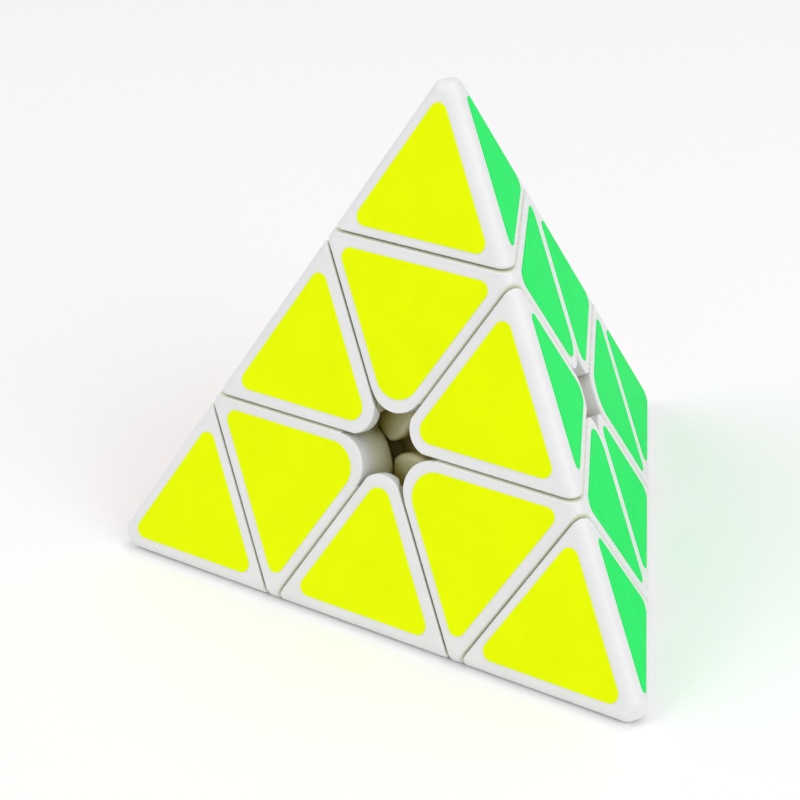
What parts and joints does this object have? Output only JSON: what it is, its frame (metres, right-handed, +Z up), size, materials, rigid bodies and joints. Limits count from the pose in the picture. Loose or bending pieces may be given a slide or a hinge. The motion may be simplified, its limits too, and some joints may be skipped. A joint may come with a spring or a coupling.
{
  "type": "pyramid twisty puzzle",
  "caption": "Pyramid-shaped mechanical puzzle with coloured triangle stickers: corner tips and layers turn about the four corner axes of a sprung core.",
  "frame": {"origin": "the centre of the core, where the four turning axes meet; the bottom face lies 20.12 mm below it", "axes": "+Z up the turning axis of the top corner; the front (yellow) face looks along -Y; +X to the right corner side"},
  "size_m": [0.0918, 0.0802, 0.0757],
  "materials": {
    "white_plastic": "satin injection-moulded white plastic",
    "core_plastic": "matt moulded white plastic",
    "sticker_yellow": "fluorescent yellow vinyl",
    "sticker_green": "bright green vinyl",
    "sticker_red": "bright red vinyl",
    "sticker_blue": "bright blue vinyl",
    "screw_steel": "zinc-plated steel",
    "spring_steel": "spring steel wire",
    "washer_steel": "stamped steel"
  },
  "bodies": {
    "core": {"core_hub": "core_plastic", "axis_screws": "screw_steel", "tension_springs": "spring_steel", "spring_washers": "washer_steel"},
    "layer_top": {"axial_top": "white_plastic", "sticker_right_axial_top": "sticker_green", "sticker_left_axial_top": "sticker_red", "sticker_front_axial_top": "sticker_yellow"},
    "corner_top": {"tip_top": "white_plastic", "sticker_right_tip_top": "sticker_green", "sticker_left_tip_top": "sticker_red", "sticker_front_tip_top": "sticker_yellow"},
    "layer_left": {"axial_left": "white_plastic", "sticker_bottom_axial_left": "sticker_blue", "sticker_left_axial_left": "sticker_red", "sticker_front_axial_left": "sticker_yellow"},
    "corner_left": {"tip_left": "white_plastic", "sticker_bottom_tip_left": "sticker_blue", "sticker_left_tip_left": "sticker_red", "sticker_front_tip_left": "sticker_yellow"},
    "layer_right": {"axial_right": "white_plastic", "sticker_bottom_axial_right": "sticker_blue", "sticker_right_axial_right": "sticker_green", "sticker_front_axial_right": "sticker_yellow"},
    "corner_right": {"tip_right": "white_plastic", "sticker_bottom_tip_right": "sticker_blue", "sticker_right_tip_right": "sticker_green", "sticker_front_tip_right": "sticker_yellow"},
    "layer_back": {"axial_back": "white_plastic", "sticker_bottom_axial_back": "sticker_blue", "sticker_right_axial_back": "sticker_green", "sticker_left_axial_back": "sticker_red"},
    "corner_back": {"tip_back": "white_plastic", "sticker_bottom_tip_back": "sticker_blue", "sticker_right_tip_back": "sticker_green", "sticker_left_tip_back": "sticker_red"},
    "edge_top_left": {"edge_shell_top_left": "white_plastic", "edge_foot_top_left": "white_plastic", "sticker_left_edge_top_left": "sticker_red", "sticker_front_edge_top_left": "sticker_yellow"},
    "edge_top_right": {"edge_shell_top_right": "white_plastic", "edge_foot_top_right": "white_plastic", "sticker_right_edge_top_right": "sticker_green", "sticker_front_edge_top_right": "sticker_yellow"},
    "edge_top_back": {"edge_shell_top_back": "white_plastic", "edge_foot_top_back": "white_plastic", "sticker_right_edge_top_back": "sticker_green", "sticker_left_edge_top_back": "sticker_red"},
    "edge_left_right": {"edge_shell_left_right": "white_plastic", "edge_foot_left_right": "white_plastic", "sticker_bottom_edge_left_right": "sticker_blue", "sticker_front_edge_left_right": "sticker_yellow"},
    "edge_right_back": {"edge_shell_right_back": "white_plastic", "edge_foot_right_back": "white_plastic", "sticker_bottom_edge_right_back": "sticker_blue", "sticker_right_edge_right_back": "sticker_green"},
    "edge_back_left": {"edge_shell_back_left": "white_plastic", "edge_foot_back_left": "white_plastic", "sticker_bottom_edge_back_left": "sticker_blue", "sticker_left_edge_back_left": "sticker_red"}
  },
  "joints": [
    {"name": "layer_top_turn", "type": "hinge", "parent": "core", "child": "layer_top", "pos_m": [0, 0, 0], "axis": [0, 0, 1], "range_deg": [-120, 240]},
    {"name": "layer_left_turn", "type": "hinge", "parent": "core", "child": "layer_left", "pos_m": [0, 0, 0], "axis": [-0.8165, -0.4714, -0.3333], "range_deg": [-120, 240]},
    {"name": "layer_right_turn", "type": "hinge", "parent": "core", "child": "layer_right", "pos_m": [0, 0, 0], "axis": [0.8165, -0.4714, -0.3333], "range_deg": [-120, 240]},
    {"name": "layer_back_turn", "type": "hinge", "parent": "core", "child": "layer_back", "pos_m": [0, 0, 0], "axis": [0, 0.9428, -0.3333], "range_deg": [-120, 240]},
    {"name": "tip_top_turn", "type": "hinge", "parent": "layer_top", "child": "corner_top", "pos_m": [0, 0, 0], "axis": [0, 0, 1], "continuous": true},
    {"name": "tip_left_turn", "type": "hinge", "parent": "layer_left", "child": "corner_left", "pos_m": [0, 0, 0], "axis": [-0.8165, -0.4714, -0.3333], "continuous": true},
    {"name": "tip_right_turn", "type": "hinge", "parent": "layer_right", "child": "corner_right", "pos_m": [0, 0, 0], "axis": [0.8165, -0.4714, -0.3333], "continuous": true},
    {"name": "tip_back_turn", "type": "hinge", "parent": "layer_back", "child": "corner_back", "pos_m": [0, 0, 0], "axis": [0, 0.9428, -0.3333], "continuous": true},
    {"name": "edge_top_left_turn", "type": "hinge", "parent": "layer_top", "child": "edge_top_left", "pos_m": [0, 0, 0], "axis": [-0.8165, -0.4714, -0.3333], "range_deg": [-120, 240]},
    {"name": "edge_top_right_turn", "type": "hinge", "parent": "layer_top", "child": "edge_top_right", "pos_m": [0, 0, 0], "axis": [0.8165, -0.4714, -0.3333], "range_deg": [-120, 240]},
    {"name": "edge_top_back_turn", "type": "hinge", "parent": "layer_top", "child": "edge_top_back", "pos_m": [0, 0, 0], "axis": [0, 0.9428, -0.3333], "range_deg": [-120, 240]},
    {"name": "edge_left_right_turn", "type": "hinge", "parent": "layer_right", "child": "edge_left_right", "pos_m": [0, 0, 0], "axis": [-0.8165, -0.4714, -0.3333], "range_deg": [-120, 240]},
    {"name": "edge_right_back_turn", "type": "hinge", "parent": "layer_back", "child": "edge_right_back", "pos_m": [0, 0, 0], "axis": [0.8165, -0.4714, -0.3333], "range_deg": [-120, 240]},
    {"name": "edge_back_left_turn", "type": "hinge", "parent": "layer_left", "child": "edge_back_left", "pos_m": [0, 0, 0], "axis": [0, 0.9428, -0.3333], "range_deg": [-120, 240]}
  ],
  "couplings": [
    {"joint": "edge_top_left_turn", "follows": "layer_left_turn", "ratio": 1},
    {"joint": "edge_top_right_turn", "follows": "layer_right_turn", "ratio": 1},
    {"joint": "edge_top_back_turn", "follows": "layer_back_turn", "ratio": 1},
    {"joint": "edge_left_right_turn", "follows": "layer_left_turn", "ratio": 1},
    {"joint": "edge_right_back_turn", "follows": "layer_right_turn", "ratio": 1},
    {"joint": "edge_back_left_turn", "follows": "layer_back_turn", "ratio": 1}
  ]
}
